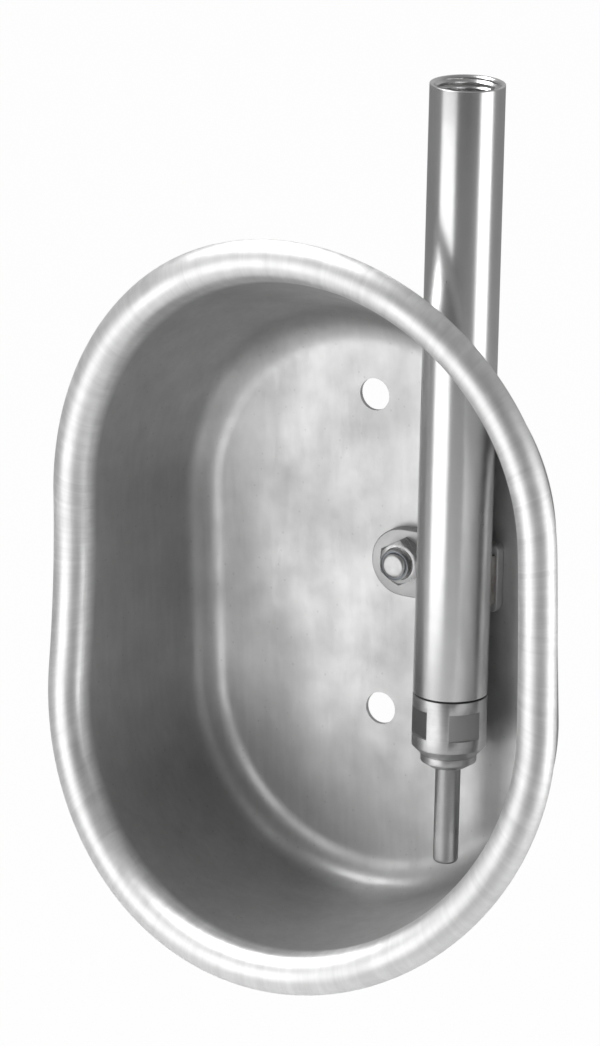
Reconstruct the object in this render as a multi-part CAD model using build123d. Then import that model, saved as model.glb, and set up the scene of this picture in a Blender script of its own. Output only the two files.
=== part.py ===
"""Livestock drinking bowl: a deep-drawn oval bowl on a wall, fed by a pin valve on an upright pipe.

Frame: X to the right, Y into the wall, Z up. The wall is the plane Y = 0, and the origin lies on it,
midway between the two wall holes. All lengths are in millimetres.
"""
from build123d import *
import math
import os

# ---- bowl: one deep-drawn sheet -----------------------------------------------------------------
SHEET = 1.5              # sheet thickness
BASE_HALF_WIDTH = 64.5   # inner wall lines carried down to the panel: half the width
BASE_TOP = 77.5          # ... and the top
BASE_BOTTOM = -112.0     # ... and the bottom
SIDE_DRAFT = 13.9        # lean of the side walls, degrees
TOP_DRAFT = 22.7         # lean of the top wall, degrees
BOTTOM_DRAFT = 0.3       # lean of the bottom wall, degrees
BASE_FILLET = 12.0       # inner radius between panel and walls
RIM_DEPTH = 49.0         # depth of the lip's centre line where it is nearest the wall
RIM_SIDE_RADIUS = 460.0  # the rim is an arc of this radius in side view
RIM_ARC_Z = 27.5         # height at which that arc stands nearest the wall
LIP_RADIUS = 6.75        # half the width of the rolled lip
LIP_FLAT = 0.1           # the roll's radius is this much less than LIP_RADIUS
LIP_SHORT = 0.6          # the lip's edge stops this far in front of the lip's centre line
WALL_BLOCK_BEYOND = 45.0  # the wall's blocks are drawn this far past the rim before they are cut
OVER = 1.0               # how far a cutting tool runs past the face that it cuts

# ---- wall fixing --------------------------------------------------------------------------------
HOLE_SPACING = 103.5
HOLE_RADIUS = 5.25

# ---- bracket: stud, plate and lock nut ----------------------------------------------------------
STUD_X = 12.5            # the stud stands right of the bowl's centre line
STUD_Z = 0.0
STUD_RADIUS = 4.0        # M8
STUD_STANDS_PROUD = 1.0  # the stud's end beyond the nut
STUD_CHAMFER = 1.0
PLATE_THICKNESS = 4.0
PLATE_HEIGHT = 22.0
PLATE_LEFT = 12.4        # from the stud's axis to the rounded end
PLATE_RIGHT = 32.7       # from the stud's axis to the square end
PLATE_SAG = 1.3          # the plate's middle line below the stud
PLATE_CORNER = 2.0
PLATE_HOLE_CLEARANCE = 0.3
NUT_ACROSS_FLATS = 13.0
NUT_HEX_HEIGHT = 5.5
NUT_COLLAR_HEIGHT = 2.5
NUT_COLLAR_RADIUS = 5.0
NUT_COLLAR_WALL = 0.45
NUT_CHAMFER = 0.8
NUT_TURN = 30.0          # one corner of the hexagon points up
INSERT_HEIGHT = 2.0
INSERT_RECESS = 0.3      # the nylon ring below the collar's end

# ---- water pipe ---------------------------------------------------------------------------------
PIPE_LEAN = 2.8          # the fitted pipe leans to the right, degrees
PIPE_OFFSET = 23.45      # from the stud's axis to the pipe's axis
PIPE_RADIUS = 11.85
PIPE_BORE = 9.3
PIPE_LENGTH = 197.2
PIPE_DROP = 36.4         # the pipe's lower end below the stud
WELD_ROOT_GAP = 0.2      # between pipe and plate
WELD_LEG = 4.5
WELD_REACH_BACK = 3.35   # the bead's foot inside the pipe's outline
WELD_CREST_BACK = 0.4    # the bead's crest inside its foot
WELD_LENGTH = 16.0
SOCKET_RADIUS = 10.25    # G1/2 female thread, as a plain wall
SOCKET_DEPTH = 15.0
SOCKET_CHAMFER = 0.65
PIPE_PASSAGE_CLEARANCE = 0.6

# ---- valve body and what is fixed in it ---------------------------------------------------------
GASKET_THICKNESS = 0.6
GASKET_SETBACK = 0.5     # the gasket's edge inside the pipe's outline
BODY_RADIUS = PIPE_RADIUS  # the body is flush with the pipe
BODY_HEIGHT = 16.7
BODY_CHAMFER = 3.0
SPIGOT_LENGTH = 12.0     # male thread above the shoulder
SPIGOT_LEAD = 1.0        # chamfer at the thread's start
THREAD_CLEARANCE = 0.1
CHAMBER_RADIUS = 7.3
FLAT_COUNT = 4
FLAT_AZIMUTH = -36.0     # direction of the first spanner flat, degrees from +X
FLAT_ACROSS = 21.2
FLAT_HEIGHT = 9.0
FLAT_BELOW_SHOULDER = 3.85
BUSH_RADIUS = 8.9
BUSH_SKIRT = 2.3
BUSH_CONE = 2.0
BUSH_LAND = 0.35
BUSH_SPIGOT = 3.3
BUSH_BORE_TOP = 4.8
BUSH_BORE_BOTTOM = 5.4
PUSH_FIT = 0.05
RING_SECTION = 1.3       # seat ring: radius of its round section
RING_RADIUS = 5.9        # seat ring: radius of its centre line
FLOW_PLATE_THICKNESS = 2.5
FLOW_ORIFICE = 1.5
FLOW_HOLE_RADIUS = 1.0
FLOW_HOLE_COUNT = 6
FLOW_HOLE_PITCH_RADIUS = 4.9
CIRCLIP_THICKNESS = 1.0
CIRCLIP_DEPTH = 0.7      # groove depth in the chamber wall
CIRCLIP_INNER = 6.1
CIRCLIP_GAP = 60.0       # degrees left open
CIRCLIP_BELOW_TOP = 0.6  # the groove below the body's top
STRAINER_FLANGE = 1.5
STRAINER_RADIUS = 7.4
STRAINER_WALL = 1.1
STRAINER_HEIGHT = 18.0
STRAINER_CAP = 1.6
STRAINER_RIB_COUNT = 6
STRAINER_RIB_ANGLE = 16.0
MESH_THICKNESS = 0.3
MESH_SHORT = 0.3         # the sleeve ends this far below the frame's top

# ---- what moves in the valve --------------------------------------------------------------------
PIN_RADIUS = 4.0
PIN_SHOWS = 32.2         # the pin below the bush
PIN_END_RADIUS = 1.6
BALL_RADIUS = 6.0
BALL_ABOVE_BUSH = 6.2    # the ball's centre above the bush's top face
MOVING_GAP = 0.1         # running fit between the ball, its cup, the follower and the seat ring
CUP_WALL = 0.85
CUP_RIM_ABOVE = 3.4      # the cup's rim above the ball's centre
FOLLOWER_RADIUS = 7.1
FOLLOWER_HEIGHT = 4.5
FOLLOWER_NOTCH_COUNT = 4
FOLLOWER_NOTCH_RADIUS = 1.3
FOLLOWER_BOSS_RADIUS = 3.4
FOLLOWER_BOSS_HEIGHT = 2.2
SPRING_RADIUS = 4.6
SPRING_WIRE = 0.5
SPRING_TURNS = 5
SPRING_SEAT_GAP = 0.1

# ---- heights in the valve, along the pipe's axis from its lower end -------------------------------
shoulder_z = -GASKET_THICKNESS
body_foot_z = shoulder_z - BODY_HEIGHT - BODY_CHAMFER
spigot_top_z = shoulder_z + SPIGOT_LENGTH + GASKET_THICKNESS
bush_foot_z = body_foot_z - BUSH_SKIRT - BUSH_CONE
bush_top_z = body_foot_z + BUSH_SPIGOT
ball_z = bush_top_z + BALL_ABOVE_BUSH
pin_foot_z = bush_foot_z - PIN_SHOWS
cup_outer = BALL_RADIUS + MOVING_GAP + CUP_WALL
follower_top_z = ball_z + cup_outer + MOVING_GAP + FOLLOWER_HEIGHT / 2
follower_foot_z = follower_top_z - FOLLOWER_HEIGHT
circlip_z = spigot_top_z - CIRCLIP_THICKNESS - CIRCLIP_BELOW_TOP
flow_plate_z = circlip_z - FLOW_PLATE_THICKNESS
nut_base = SHEET + PLATE_THICKNESS
nut_height = NUT_HEX_HEIGHT + NUT_COLLAR_HEIGHT
plate_face = SHEET + PLATE_THICKNESS

# The bracket, pipe and valve are drawn upright about the stud's axis and then lean together.
bracket_place = Pos(STUD_X, 0, STUD_Z) * Rot(0, PIPE_LEAN, 0)
pipe_y = -(plate_face + WELD_ROOT_GAP + PIPE_RADIUS)
valve_place = bracket_place * Pos(PIPE_OFFSET, pipe_y, -PIPE_DROP)


def slot_at(depth, sheet_side):
    """The bowl's wall outline at a depth in front of the wall, moved out by sheet_side."""
    rise = depth - SHEET
    side = BASE_HALF_WIDTH + rise * math.tan(math.radians(SIDE_DRAFT))
    side += sheet_side / math.cos(math.radians(SIDE_DRAFT))
    top = BASE_TOP + rise * math.tan(math.radians(TOP_DRAFT))
    top += sheet_side / math.cos(math.radians(TOP_DRAFT))
    bottom = BASE_BOTTOM - rise * math.tan(math.radians(BOTTOM_DRAFT))
    bottom -= sheet_side / math.cos(math.radians(BOTTOM_DRAFT))
    outline = SlotOverall(top - bottom, 2 * side, rotation=90)
    return Plane.XZ.offset(depth) * Pos(0, (top + bottom) / 2) * outline


def wall_block(near, far, sheet_side):
    """The space inside the bowl's walls between two depths, moved out by sheet_side."""
    return loft([slot_at(near, sheet_side), slot_at(far, sheet_side)], ruled=True)


def base_edges(block, depth):
    """The edges of a wall block that lie on the plane at a depth."""
    return [e for e in block.edges() if abs(e.center().Y + depth) < 0.01 and e.bounding_box().size.Y < 0.01]


def upright_rod(radius, low, high):
    """A cylinder on the Z axis between two heights."""
    return Pos(0, 0, (low + high) / 2) * Cylinder(radius, high - low)


def wall_rod(radius, near, far):
    """A cylinder along Y that reaches from one depth in front of the wall to another."""
    return Pos(0, -(near + far) / 2, 0) * Rot(90, 0, 0) * Cylinder(radius, far - near)


def turned(points):
    """A solid of revolution about the Z axis from its half outline of (radius, height) points."""
    return revolve(Plane.XZ * make_face(Polyline(points, close=True)), Axis.Z)


def in_front_of_rim(step):
    """The space in front of the lip's centre line, moved by step towards the wall."""
    centre = Pos(0, -(RIM_DEPTH + RIM_SIDE_RADIUS), RIM_ARC_Z) * Rot(0, 90, 0)
    return centre * Cylinder(RIM_SIDE_RADIUS + step, 4 * BASE_HALF_WIDTH)


def rim_wire_edges(block, step, outer):
    """The outer or inner edges of a block's front, where in_front_of_rim(step) has cut it."""
    edges = []
    for face in block.faces().filter_by(GeomType.CYLINDER):
        if abs(face.radius - (RIM_SIDE_RADIUS + step)) < 0.01:
            wires = [face.outer_wire()] if outer else face.inner_wires()
            edges += [e for wire in wires for e in wire.edges()]
    return edges


def make_bowl():
    """The drawn bowl with its turned lip, wall holes, stud hole and pipe passage."""
    far = RIM_DEPTH + WALL_BLOCK_BEYOND
    crest = -LIP_RADIUS
    under_crest = SHEET - LIP_RADIUS
    roll = LIP_RADIUS - LIP_FLAT
    inside = wall_block(SHEET, far + OVER, 0)
    inside = fillet(base_edges(inside, SHEET), BASE_FILLET)
    outside = wall_block(0, far, SHEET)
    outside = fillet(base_edges(outside, 0), BASE_FILLET + SHEET)

    # A thick body with the lip's upper side rolled over both of its front edges.
    body = wall_block(-OVER, far, 2 * LIP_RADIUS) - in_front_of_rim(crest)
    body = fillet(rim_wire_edges(body, crest, outer=True), roll) - inside
    body = fillet(rim_wire_edges(body, crest, outer=False), roll)

    # All that lies behind the sheet: behind the lip's edge, and up inside the roll of the lip.
    hollow = wall_block(SHEET, far, 2 * LIP_RADIUS - SHEET) - in_front_of_rim(under_crest)
    hollow = fillet(rim_wire_edges(hollow, under_crest, outer=True), roll - SHEET)
    behind = Pos(0, OVER - far / 2, 0) * Box(4 * BASE_HALF_WIDTH, far, 6 * BASE_HALF_WIDTH)
    behind = behind - in_front_of_rim(-LIP_SHORT) + hollow - outside
    behind = fillet(rim_wire_edges(behind, under_crest, outer=False), roll - SHEET)

    bowl = body - behind
    for side in (-1, 1):
        bowl -= Pos(0, 0, side * HOLE_SPACING / 2) * wall_rod(HOLE_RADIUS, -OVER, SHEET + OVER)
    bowl -= bracket_place * wall_rod(STUD_RADIUS + PUSH_FIT, -OVER, SHEET + OVER)
    passage = upright_rod(PIPE_RADIUS + PIPE_PASSAGE_CLEARANCE, PIPE_DROP, 2 * PIPE_LENGTH)
    return bowl - valve_place * passage


def make_plate():
    """The bracket plate: round at the stud, square behind the pipe."""
    rounded = Circle(PLATE_HEIGHT / 2)
    left_centre = PLATE_HEIGHT / 2 - PLATE_LEFT
    bar = Pos((left_centre + PLATE_RIGHT) / 2, 0) * Rectangle(PLATE_RIGHT - left_centre, PLATE_HEIGHT)
    right_corners = [v for v in bar.vertices() if v.X > PLATE_RIGHT - 0.01]
    bar = fillet(right_corners, PLATE_CORNER)
    outline = bar + Pos(left_centre, 0) * rounded
    placed = Plane.XZ.offset(SHEET) * Pos(0, -PLATE_SAG) * outline
    plate = extrude(placed, PLATE_THICKNESS)
    plate -= wall_rod(STUD_RADIUS + PLATE_HOLE_CLEARANCE, 0, plate_face + OVER)
    return bracket_place * plate


def make_stud():
    """The threaded stud, welded flush into the panel."""
    length = nut_base + nut_height + STUD_STANDS_PROUD
    stud = wall_rod(STUD_RADIUS, 0, length)
    tip = [e for e in stud.edges().filter_by(GeomType.CIRCLE) if e.center().Y < -length + 0.01]
    return bracket_place * chamfer(tip, STUD_CHAMFER)


def make_nut():
    """The hexagon lock nut with its turned-in collar."""
    hexagon = RegularPolygon(NUT_ACROSS_FLATS / 2, 6, major_radius=False)
    body = extrude(Plane.XZ.offset(nut_base) * hexagon, NUT_HEX_HEIGHT)
    corner_radius = NUT_ACROSS_FLATS / 2 / math.cos(math.pi / 6)
    top = nut_base + NUT_HEX_HEIGHT
    inner = NUT_ACROSS_FLATS / 2
    profile = [(0, nut_base), (corner_radius, nut_base), (corner_radius, top - NUT_CHAMFER / 2)]
    profile += [(inner, top), (0, top)]
    body &= Rot(90, 0, 0) * turned(profile)
    collar_top = nut_base + nut_height
    body += wall_rod(NUT_COLLAR_RADIUS, nut_base, collar_top)
    pocket = NUT_COLLAR_RADIUS - NUT_COLLAR_WALL
    body -= wall_rod(pocket, collar_top - INSERT_HEIGHT, collar_top + OVER)
    body -= wall_rod(STUD_RADIUS + PUSH_FIT, nut_base - OVER, collar_top + OVER)
    return bracket_place * Rot(0, NUT_TURN, 0) * body


def make_nut_insert():
    """The nylon ring that locks the nut."""
    top = nut_base + nut_height - INSERT_RECESS
    pocket = NUT_COLLAR_RADIUS - NUT_COLLAR_WALL
    ring = wall_rod(pocket, nut_base + nut_height - INSERT_HEIGHT, top)
    return bracket_place * (ring - wall_rod(STUD_RADIUS + PUSH_FIT, nut_base, top + OVER))


def make_pipe():
    """The water pipe, threaded inside at both ends."""
    pipe = upright_rod(PIPE_RADIUS, 0, PIPE_LENGTH) - upright_rod(PIPE_BORE, -OVER, PIPE_LENGTH + OVER)
    pipe -= upright_rod(SOCKET_RADIUS, -OVER, SOCKET_DEPTH)
    pipe -= upright_rod(SOCKET_RADIUS, PIPE_LENGTH - SOCKET_DEPTH, PIPE_LENGTH + OVER)
    rims = [e for e in pipe.edges().filter_by(GeomType.CIRCLE) if abs(e.radius - SOCKET_RADIUS) < 0.01]
    mouths = [e for e in rims if abs(e.center().Z - PIPE_LENGTH / 2) > PIPE_LENGTH / 2 - 0.01]
    return valve_place * chamfer(mouths, SOCKET_CHAMFER)


def make_weld(side):
    """The weld bead between the pipe and the plate on one side, -1 left or 1 right."""
    reach = PIPE_RADIUS - WELD_REACH_BACK
    corner = (side * (reach - WELD_LEG), -plate_face)
    foot = (side * reach, -plate_face)
    crest = (side * (reach - WELD_CREST_BACK), -(plate_face + WELD_LEG))
    bead = extrude(make_face(Polyline([corner, foot, crest], close=True)), WELD_LENGTH / 2, both=True)
    bead = Pos(PIPE_OFFSET, 0, -PLATE_SAG) * bead
    core = Pos(PIPE_OFFSET, pipe_y, 0) * upright_rod(PIPE_RADIUS + PUSH_FIT, -PLATE_HEIGHT, PLATE_HEIGHT)
    return bracket_place * (bead - core)


def make_gasket():
    """The flat gasket between the pipe's end and the valve's shoulder."""
    ring = upright_rod(PIPE_RADIUS - GASKET_SETBACK, shoulder_z, 0)
    return valve_place * (ring - upright_rod(SOCKET_RADIUS + THREAD_CLEARANCE, shoulder_z - OVER, OVER))


def make_valve_body():
    """The valve body: threaded spigot, round head with spanner flats, through chamber."""
    spigot = SOCKET_RADIUS - THREAD_CLEARANCE
    foot_radius = BODY_RADIUS - BODY_CHAMFER
    chamfer_z = body_foot_z + BODY_CHAMFER
    outline = [(CHAMBER_RADIUS, body_foot_z), (foot_radius, body_foot_z), (BODY_RADIUS, chamfer_z)]
    outline += [(BODY_RADIUS, shoulder_z), (spigot, shoulder_z), (spigot, spigot_top_z - SPIGOT_LEAD)]
    outline += [(spigot - SPIGOT_LEAD, spigot_top_z), (CHAMBER_RADIUS, spigot_top_z)]
    body = turned(outline)
    groove = upright_rod(CHAMBER_RADIUS + CIRCLIP_DEPTH, circlip_z, circlip_z + CIRCLIP_THICKNESS)
    body -= groove
    flat_z = shoulder_z - FLAT_BELOW_SHOULDER - FLAT_HEIGHT / 2
    for k in range(FLAT_COUNT):
        cutter = Box(BODY_RADIUS, 2 * BODY_RADIUS, FLAT_HEIGHT)
        cutter = Pos((FLAT_ACROSS + BODY_RADIUS) / 2, 0, flat_z) * cutter
        body -= Rot(0, 0, FLAT_AZIMUTH + k * 360 / FLAT_COUNT) * cutter
    return valve_place * body


def make_bush():
    """The guide bush pressed in from below, with a flared bore for the tilting pin."""
    spigot = CHAMBER_RADIUS - PUSH_FIT
    cone_z = bush_foot_z + BUSH_CONE
    outline = [(BUSH_BORE_BOTTOM, bush_foot_z), (BUSH_BORE_BOTTOM + BUSH_LAND, bush_foot_z)]
    outline += [(BUSH_RADIUS, cone_z), (BUSH_RADIUS, body_foot_z), (spigot, body_foot_z)]
    outline += [(spigot, bush_top_z), (BUSH_BORE_TOP, bush_top_z)]
    return valve_place * turned(outline)


def make_seat_ring():
    """The rubber ring that the ball seals on."""
    reach = BALL_RADIUS + MOVING_GAP + RING_SECTION
    ring_z = ball_z - math.sqrt(reach ** 2 - RING_RADIUS ** 2)
    return valve_place * Pos(0, 0, ring_z) * Torus(RING_RADIUS, RING_SECTION)


def make_pin():
    """The drinking pin: a ball head that seals, and the stem that the animal pushes."""
    stem = upright_rod(PIN_RADIUS, pin_foot_z, ball_z)
    foot = [e for e in stem.edges().filter_by(GeomType.CIRCLE) if e.center().Z < pin_foot_z + 0.01]
    stem = fillet(foot, PIN_END_RADIUS)
    return valve_place * (stem + Pos(0, 0, ball_z) * Sphere(BALL_RADIUS))


def make_ball_cup():
    """The plastic cup that carries the spring's push on to the ball."""
    shell = Sphere(cup_outer) - Sphere(BALL_RADIUS + MOVING_GAP)
    keep = upright_rod(2 * cup_outer, CUP_RIM_ABOVE, 2 * cup_outer)
    return valve_place * Pos(0, 0, ball_z) * (shell & keep)


def make_follower():
    """The spring follower, guided in the chamber and notched for the water."""
    disc = upright_rod(FOLLOWER_RADIUS, follower_foot_z, follower_top_z)
    disc += upright_rod(FOLLOWER_BOSS_RADIUS, follower_top_z, follower_top_z + FOLLOWER_BOSS_HEIGHT)
    disc -= Pos(0, 0, ball_z) * Sphere(cup_outer + MOVING_GAP)
    for k in range(FOLLOWER_NOTCH_COUNT):
        notch = upright_rod(FOLLOWER_NOTCH_RADIUS, follower_foot_z - OVER, follower_top_z + OVER)
        disc -= Rot(0, 0, k * 360 / FOLLOWER_NOTCH_COUNT) * Pos(FOLLOWER_RADIUS, 0, 0) * notch
    return valve_place * disc


def make_spring():
    """The return spring between the follower and the flow plate."""
    low = follower_top_z + SPRING_SEAT_GAP + SPRING_WIRE
    high = flow_plate_z - SPRING_SEAT_GAP - SPRING_WIRE
    line = Helix((high - low) / SPRING_TURNS, high - low, SPRING_RADIUS)
    wire = Plane(origin=line @ 0, z_dir=line % 0) * Circle(SPRING_WIRE)
    return valve_place * Pos(0, 0, low) * sweep(wire, path=line, is_frenet=True)


def make_flow_plate():
    """The plate that holds the spring and sets the flow."""
    plate = upright_rod(CHAMBER_RADIUS - PUSH_FIT, flow_plate_z, circlip_z)
    plate -= upright_rod(FLOW_ORIFICE, flow_plate_z - OVER, circlip_z + OVER)
    for k in range(FLOW_HOLE_COUNT):
        hole = upright_rod(FLOW_HOLE_RADIUS, flow_plate_z - OVER, circlip_z + OVER)
        plate -= Rot(0, 0, k * 360 / FLOW_HOLE_COUNT) * Pos(FLOW_HOLE_PITCH_RADIUS, 0, 0) * hole
    return valve_place * plate


def wedge(half_angle, reach):
    """A flat triangle on the XY plane, with its point on the Z axis and its middle line along +X."""
    rise = reach * math.tan(math.radians(half_angle))
    return make_face(Polyline([(0, 0), (reach, rise), (reach, -rise)], close=True))


def make_circlip():
    """The open ring that holds the flow plate in the body."""
    outer = CHAMBER_RADIUS + CIRCLIP_DEPTH - PUSH_FIT
    top = circlip_z + CIRCLIP_THICKNESS
    ring = upright_rod(outer, circlip_z, top) - upright_rod(CIRCLIP_INNER, circlip_z - OVER, top + OVER)
    opening = extrude(wedge(CIRCLIP_GAP / 2, 2 * outer), CIRCLIP_THICKNESS + 2 * OVER)
    return valve_place * (ring - Pos(0, 0, circlip_z - OVER) * opening)


def make_strainer():
    """The strainer's plastic frame: flange, ribs and cap."""
    base = spigot_top_z
    top = base + STRAINER_HEIGHT
    inner = STRAINER_RADIUS - STRAINER_WALL
    frame = upright_rod(SOCKET_RADIUS - 2 * THREAD_CLEARANCE, base, base + STRAINER_FLANGE)
    frame -= upright_rod(inner, base - OVER, base + STRAINER_FLANGE + OVER)
    tube = upright_rod(STRAINER_RADIUS, base, top) - upright_rod(inner, base - OVER, top + OVER)
    sector = Pos(0, 0, base) * extrude(wedge(STRAINER_RIB_ANGLE / 2, 2 * STRAINER_RADIUS), STRAINER_HEIGHT)
    for k in range(STRAINER_RIB_COUNT):
        frame += Rot(0, 0, k * 360 / STRAINER_RIB_COUNT) * (sector & tube)
    frame += upright_rod(STRAINER_RADIUS, top - STRAINER_CAP, top)
    return valve_place * frame


def make_strainer_mesh():
    """The woven steel sleeve round the strainer's frame, as a plain thin tube."""
    low = spigot_top_z + STRAINER_FLANGE
    high = spigot_top_z + STRAINER_HEIGHT - MESH_SHORT
    inner = STRAINER_RADIUS + PUSH_FIT
    sleeve = upright_rod(inner + MESH_THICKNESS, low, high) - upright_rod(inner, low - OVER, high + OVER)
    return valve_place * sleeve


MAKERS = {
    "bowl_shell": make_bowl,
    "bracket_plate": make_plate,
    "bracket_stud": make_stud,
    "lock_nut": make_nut,
    "lock_nut_insert": make_nut_insert,
    "water_pipe": make_pipe,
    "weld_bead_left": lambda: make_weld(-1),
    "weld_bead_right": lambda: make_weld(1),
    "joint_gasket": make_gasket,
    "valve_body": make_valve_body,
    "guide_bush": make_bush,
    "seat_ring": make_seat_ring,
    "drinking_pin": make_pin,
    "ball_cup": make_ball_cup,
    "spring_follower": make_follower,
    "return_spring": make_spring,
    "flow_plate": make_flow_plate,
    "retaining_ring": make_circlip,
    "strainer_frame": make_strainer,
    "strainer_mesh": make_strainer_mesh,
}

os.makedirs("parts", exist_ok=True)
for node, maker in MAKERS.items():
    shape = maker()
    shape.label = node
    export_step(shape, f"parts/{node}.step")
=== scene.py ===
"""Livestock drinking bowl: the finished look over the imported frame.

Lengths are written in millimetres and made into metres by MM. Those of the stage are in metres.
"""
import math

import bmesh
import bpy
from mathutils import Matrix, Vector


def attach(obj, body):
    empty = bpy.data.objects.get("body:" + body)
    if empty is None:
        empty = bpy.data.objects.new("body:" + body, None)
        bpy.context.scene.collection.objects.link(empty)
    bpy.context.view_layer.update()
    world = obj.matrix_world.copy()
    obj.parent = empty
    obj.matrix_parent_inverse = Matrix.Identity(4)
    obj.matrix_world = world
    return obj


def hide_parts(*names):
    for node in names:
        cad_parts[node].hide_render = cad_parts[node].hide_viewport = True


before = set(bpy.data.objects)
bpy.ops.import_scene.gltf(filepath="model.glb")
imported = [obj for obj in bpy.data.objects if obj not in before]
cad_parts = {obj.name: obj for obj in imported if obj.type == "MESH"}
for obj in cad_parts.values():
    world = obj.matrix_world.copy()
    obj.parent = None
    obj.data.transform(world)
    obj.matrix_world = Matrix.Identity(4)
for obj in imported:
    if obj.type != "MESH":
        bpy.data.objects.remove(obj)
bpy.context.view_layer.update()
MM = 0.001
OVER = 1.0               # how far a cutting tool runs past the face that it cuts
MERGE_DISTANCE = 0.002   # points nearer to each other than this are made one
QUARTER = math.pi / 2

# ---- bowl ---------------------------------------------------------------------------------------
SHEET = 1.5
BASE_HALF_WIDTH = 64.5   # the walls' inner lines carried down to the panel: half the width
BASE_TOP = 77.5          # ... the top
BASE_BOTTOM = -112.0     # ... and the bottom
SIDE_SLOPE = math.tan(math.radians(13.9))   # how far a wall leans outward per unit of depth
TOP_SLOPE = math.tan(math.radians(22.7))
BOTTOM_SLOPE = math.tan(math.radians(0.3))
BASE_FILLET = 11.0       # inner radius between panel and walls
TOP_FILLET = 16.0        # ... at the top of the oval, where the sheet was drawn less sharply
PANEL_RING = 3.0         # a flat ring of the panel, drawn with the fillet
RIM_DEPTH = 49.0         # depth of the lip's centre line where it is nearest the wall
RIM_SIDE_RADIUS = 460.0  # the rim is an arc of this radius in side view
RIM_ARC_Z = 27.5         # height at which that arc stands nearest the wall
LIP_RADIUS = 6.65
LIP_HALF_WIDTH = 6.75    # from the wall's line to the lip's centre line
LIP_SHORT = 0.6          # the lip's edge stops this far in front of its centre line
HOLE_SPACING = 103.5
HOLE_RADIUS = 5.25
HOLE_STEPS = 48
ARC_STEPS = 84           # round each end of the outline
SIDE_STEPS = 24          # down each straight side
FILLET_STEPS = 14        # ... and along the section: over the fillet,
WALL_STEPS = 12          # up the wall
LIP_STEPS = 24           # and round the lip
RIM_ROUNDS = 8           # times that the lip's depth is worked out again from its height
ON_PANEL = 0.01          # how near the panel's face a point counts as on it

# ---- bracket: stud, plate, lock nut and welds ---------------------------------------------------
STUD_X = 12.5            # the stud stands right of the bowl's centre line
STUD_RADIUS = 4.0        # M8
STUD_FIT = 0.05          # room round the stud in the panel and in the nut
STUD_PROUD = 1.0         # the stud's end beyond the nut
STUD_PITCH = 1.25
STUD_TURNS = 6
STUD_THREAD_LOW = 1.0    # the first turn above the plate
STUD_THREAD_DEPTH = 0.62
STUD_CREST_DROP = 0.1    # each crest below the full pitch
# The stud's rounded end: inward from the side, below the tip.
STUD_DOME = ((0.05, 0.55), (0.35, 0.2), (1.0, 0.08), (2.2, 0.02))
PLATE_THICKNESS = 4.0
PLATE_FACE = SHEET + PLATE_THICKNESS
PLATE_HEIGHT = 22.0
PLATE_LEFT = 12.4        # from the stud's axis to the rounded end
PLATE_RIGHT = 32.7       # ... and to the square end
PLATE_SAG = 1.3          # the plate's middle line below the stud
PLATE_CORNER = 2.0
PLATE_EDGE = 0.35        # softened edge
PLATE_ARC_STEPS = 40
PLATE_CORNER_STEPS = 6
HOLE_CLEARANCE = 0.3     # round the stud in the plate and in the hexagon
NUT_ACROSS_FLATS = 13.0
NUT_CORNER = NUT_ACROSS_FLATS / math.sqrt(3)
NUT_HEX_HEIGHT = 5.5
NUT_TOP = PLATE_FACE + NUT_HEX_HEIGHT
NUT_COLLAR_HEIGHT = 2.5
NUT_COLLAR_TOP = NUT_TOP + NUT_COLLAR_HEIGHT
NUT_COLLAR_RADIUS = 5.0
NUT_CONE_REACH = 0.2     # the cone that the corners are turned to: beyond the corners
NUT_CONE_DROP = 0.9      # ... its start, below the hexagon's top
NUT_CONE_TOP_RADIUS = 6.2
NUT_CONE_RISE = 0.02     # ... and its top, just above the hexagon's
NUT_EDGE = 0.12          # softened edge
NUT_STEPS = 72
COLLAR_ROOT_RADIUS = 5.4  # the collar widens to this at the hexagon,
COLLAR_ROOT_HEIGHT = 0.6  # from this height above it
COLLAR_LIFT = 0.2        # the collar's tube starts this far above the plate
COLLAR_SEAM = 0.02       # how far it sinks into the hexagon
INSERT_HEIGHT = 2.0
# The collar's rolled edge: radius, below the top.
COLLAR_EDGE = ((4.55, 0.25), (4.7, 0.0), (4.9, 0.08), (5.0, 0.3))
STUD_END = NUT_COLLAR_TOP + STUD_PROUD
WELD_LENGTH = 16.0
WELD_STEP = 0.5
WELD_REACH_BACK = 3.35   # the bead's foot inside the pipe's outline
# The bead's section: back from the foot, above the plate.
WELD_PROFILE = ((4.4, 0.0), (0.0, 0.0), (0.05, 2.2), (0.6, 4.2), (1.9, 2.4))
RIPPLE_PITCH = 1.5
RIPPLE_HEIGHT = 0.14     # half of what a dip lies below a crest, sideways
RIPPLE_OUT = 0.6         # the share of it that shows out of the wall
RIPPLE_FREE = 0.1        # points nearer the plate than this stay flat

# ---- pipe and valve; heights run along the pipe's axis from its lower end -----------------------
PIPE_LEAN = math.radians(2.8)
PIPE_OFFSET = 23.45      # from the stud's axis to the pipe's axis
PIPE_RADIUS = 11.85
PIPE_BORE = 9.3
PIPE_LENGTH = 197.2
PIPE_DROP = 36.4         # the pipe's lower end below the stud
PIPE_PASSAGE_CLEARANCE = 0.6
PIPE_EDGE = 0.22         # softened edge
PIPE_STEPS = 128
WELD_ROOT_GAP = 0.2      # between pipe and plate
PIPE_Y = -(PLATE_FACE + WELD_ROOT_GAP + PIPE_RADIUS)
SOCKET_RADIUS = 10.25
SOCKET_DEPTH = 15.0
SOCKET_CHAMFER = 0.65
THREAD_PITCH = 1.814     # half-inch parallel pipe thread
THREAD_CREST = 9.55      # radius
THREAD_CREST_FROM = 0.42  # the flat of the crest, in shares of the pitch
THREAD_CREST_TO = 0.58
THREAD_ROOT_GAP = 0.03   # the turns stand this far inside the socket's wall
THREAD_SKIN = 0.02       # thickness of the turns' sheet
THREAD_START = 0.6       # the first turn above the socket's floor
THREAD_TURNS = 7
SHOULDER = -0.6
BODY_FOOT = -20.3
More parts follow.
